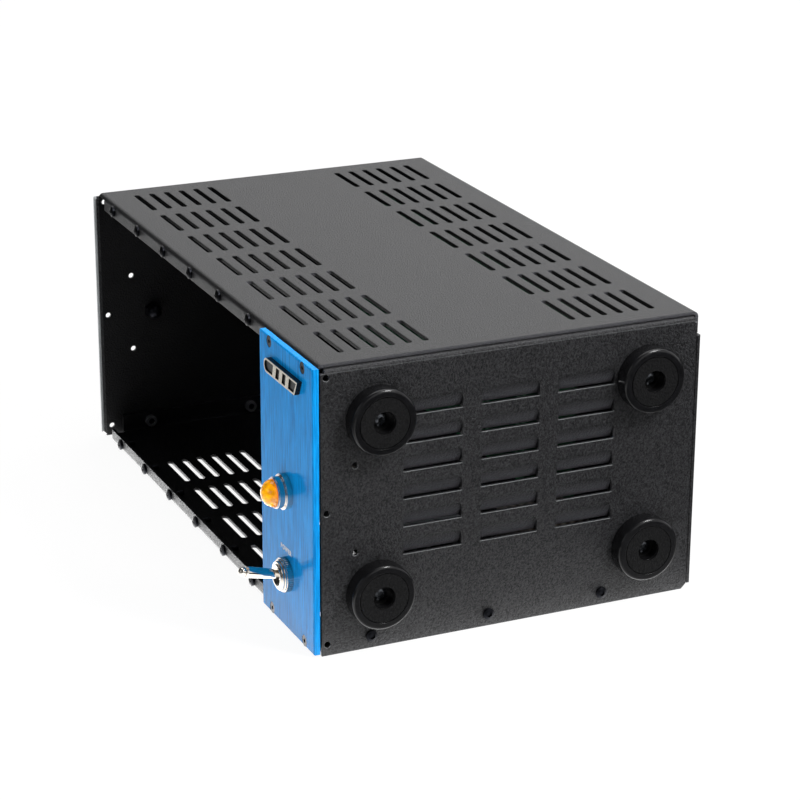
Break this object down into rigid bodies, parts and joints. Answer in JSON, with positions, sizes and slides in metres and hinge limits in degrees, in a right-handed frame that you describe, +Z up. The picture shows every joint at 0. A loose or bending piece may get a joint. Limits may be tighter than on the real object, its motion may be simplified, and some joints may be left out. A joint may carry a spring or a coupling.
{
  "type": "audio module rack",
  "caption": "Folded steel rack case with an open bay for plug-in audio modules, a blue power panel with jewel lamp and toggle, side feet, louvres and rear connectors.",
  "frame": {"origin": "on the bottom face, at mid width and at mid depth between the module mounting plane and the rear wall's outer face", "axes": "+Z up, the module bay opens to -Y, the power panel and the feet are towards +X"},
  "size_m": [0.3231, 0.2147, 0.134],
  "materials": {
    "powder_black": "fine textured powder coat",
    "blue_anodised": "vertically brushed, blue anodised",
    "badge_black": "gloss black with polished rim",
    "chrome": "polished chrome plate",
    "amber_jewel": "clear amber, cut in facets",
    "phenolic": "moulded",
    "zinc": "bright zinc",
    "black_screw": "black zinc",
    "foot_plastic": "gloss black",
    "foot_rubber": "matt, textured",
    "board_green": "solder resist",
    "socket_green": "moulded",
    "core_steel": "varnished laminations",
    "capacitor_sleeve": "shrink sleeve",
    "heatsink": "extruded",
    "connector_black": "moulded",
    "strap_rubber": "matt",
    "cap_black": "satin black"
  },
  "bodies": {
    "case": {"top_cover": "powder_black", "side_panel_left": "powder_black", "side_panel_right": "powder_black", "chassis_tray": "powder_black", "power_panel": "blue_anodised", "badge_plate": "badge_black", "lamp_bezel": "chrome", "toggle_bushing": "chrome", "toggle_washer": "chrome", "toggle_nut": "chrome", "handle_screws": "chrome", "lamp_lens": "amber_jewel", "lamp_body": "phenolic", "toggle_body": "phenolic", "lamp_nut": "zinc", "toggle_back_nut": "zinc", "clinch_nuts": "zinc", "foot_nuts": "zinc", "backplane_standoffs": "zinc", "psu_standoffs": "zinc", "power_panel_screws": "black_screw", "module_screws": "black_screw", "side_screws": "black_screw", "rear_screws": "black_screw", "connector_screws": "black_screw", "handle_nuts": "black_screw", "foot_screws": "black_screw", "foot_1": "foot_plastic", "foot_2": "foot_plastic", "foot_3": "foot_plastic", "foot_4": "foot_plastic", "foot_pads": "foot_rubber", "backplane_board": "board_green", "psu_board": "board_green", "edge_connector_1": "socket_green", "edge_connector_2": "socket_green", "edge_connector_3": "socket_green", "edge_connector_4": "socket_green", "edge_connector_5": "socket_green", "edge_connector_6": "socket_green", "psu_transformer": "core_steel", "psu_capacitors": "capacitor_sleeve", "psu_heatsink": "heatsink", "xlr_input_1": "connector_black", "xlr_input_2": "connector_black", "xlr_input_3": "connector_black", "xlr_input_4": "connector_black", "xlr_input_5": "connector_black", "xlr_input_6": "connector_black", "xlr_inserts": "connector_black", "xlr_output_1": "connector_black", "xlr_output_2": "connector_black", "xlr_output_3": "connector_black", "xlr_output_4": "connector_black", "xlr_output_5": "connector_black", "xlr_output_6": "connector_black", "mains_inlet": "connector_black", "handle_strap": "strap_rubber", "handle_caps": "cap_black"},
    "lever": {"toggle_lever": "chrome"}
  },
  "joints": [
    {"name": "toggle_hinge", "type": "hinge", "parent": "case", "child": "lever", "pos_m": [0.1185, -0.0969, 0.0277], "axis": [1, 0, 0], "range_deg": [0, 28]}
  ]
}
